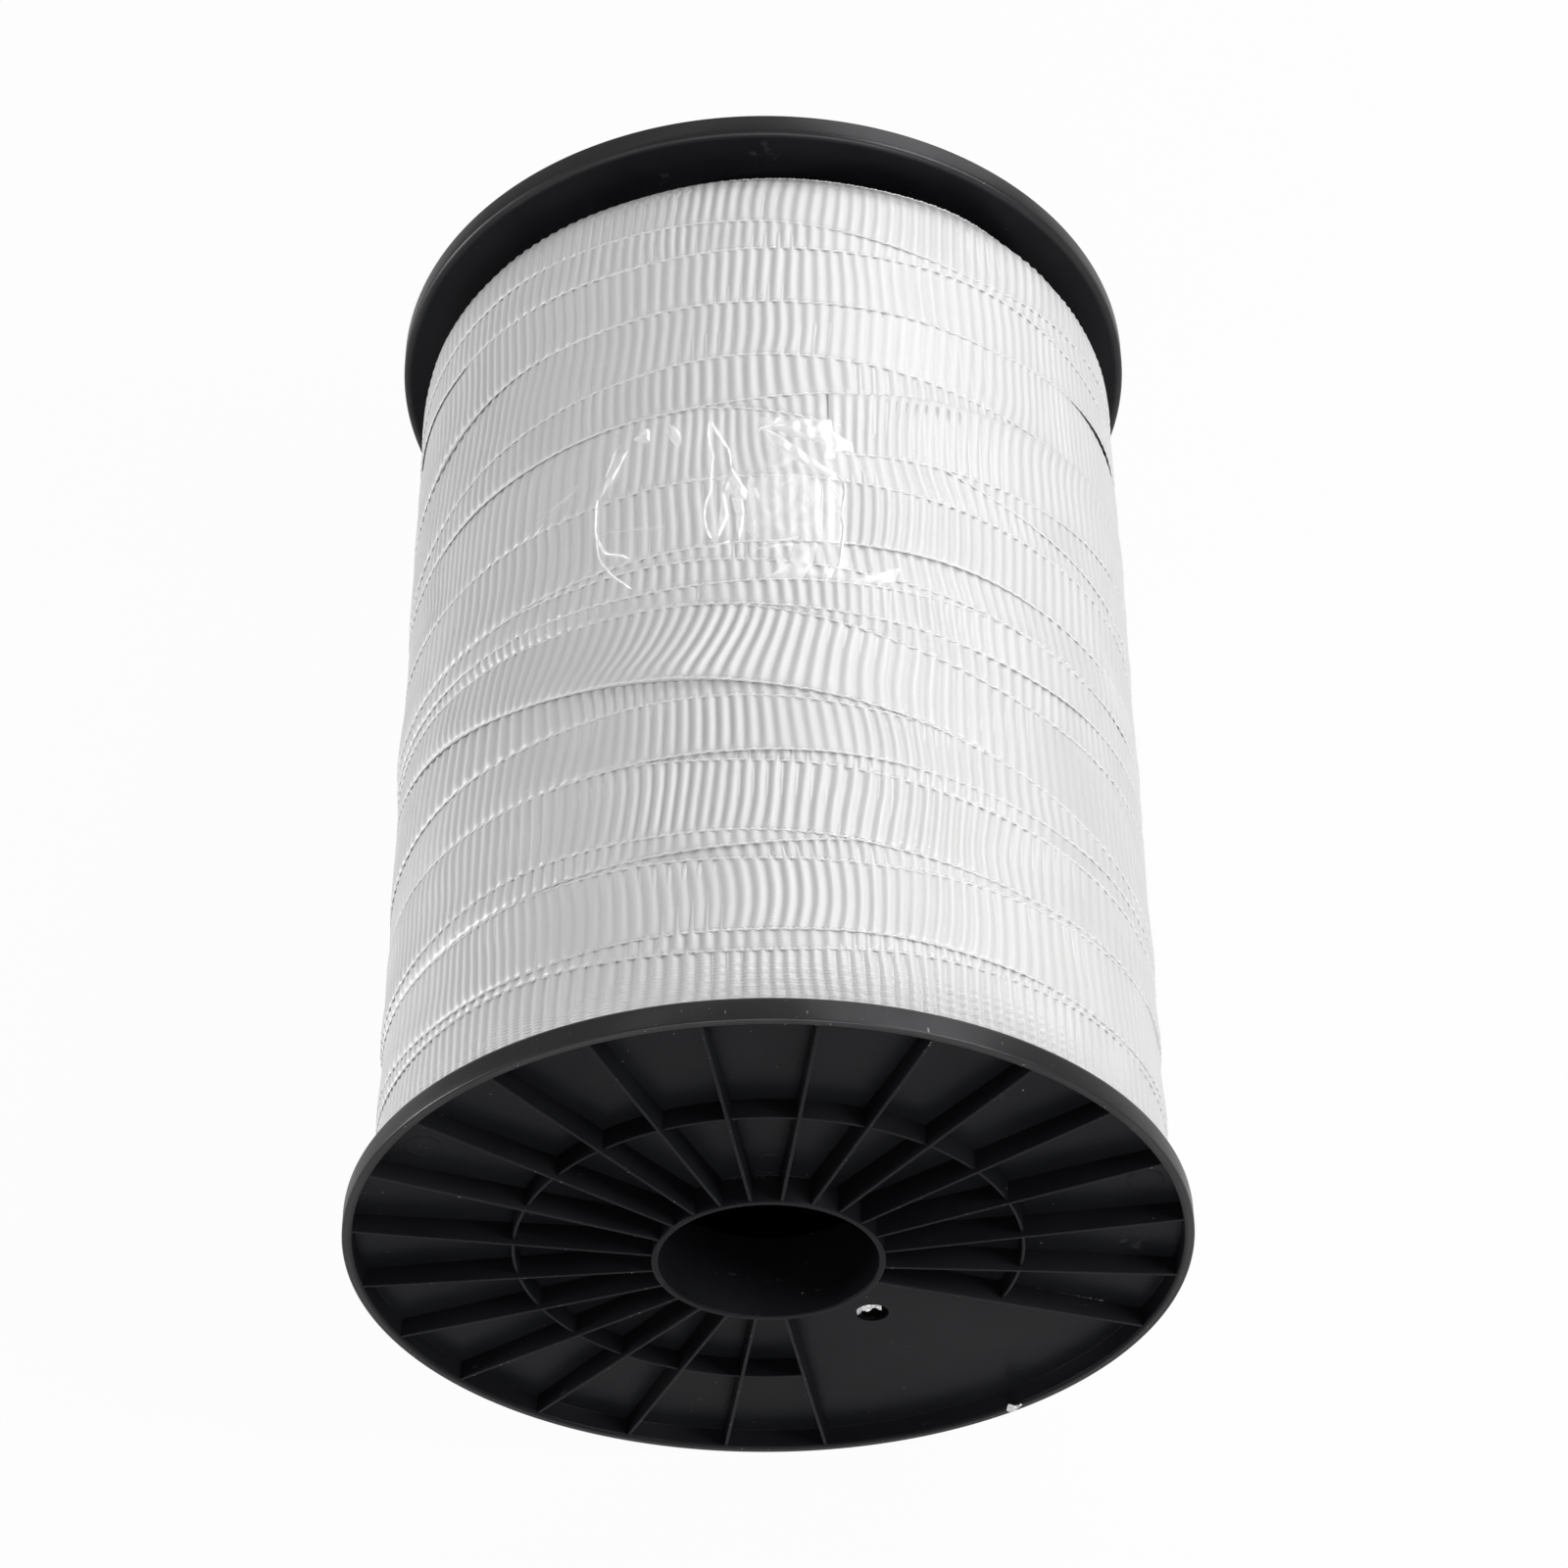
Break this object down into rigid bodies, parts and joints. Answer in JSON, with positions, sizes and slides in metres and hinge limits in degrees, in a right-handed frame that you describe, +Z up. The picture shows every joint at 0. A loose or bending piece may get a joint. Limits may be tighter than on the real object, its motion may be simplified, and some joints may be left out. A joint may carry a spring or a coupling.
{
  "type": "tape reel",
  "caption": "Black ribbed plastic reel with a through bore, wound full of flat white woven tape whose cut end is held by a patch of clear film.",
  "frame": {"origin": "on the floor under the reel, midway between its two flanges", "axes": "+Y along the reel's axis from the flange with the tape's first end to the other, +Z up, +X across the reel"},
  "size_m": [0.2, 0.285, 0.2],
  "materials": {
    "black_plastic": "satin black moulded polystyrene, lightly scuffed",
    "core_plastic": "plain extruded tube",
    "tape": "white woven synthetic tape with cross ribs and a slight sheen",
    "film": "clear adhesive film, creased"
  },
  "bodies": {
    "root": {"near_flange": "black_plastic", "far_flange": "black_plastic", "core_tube": "core_plastic", "tape_pack": "tape", "tape_outer_turns": "tape", "tape_start": "tape", "tape_end": "tape", "clear_film": "film"}
  },
  "joints": []
}
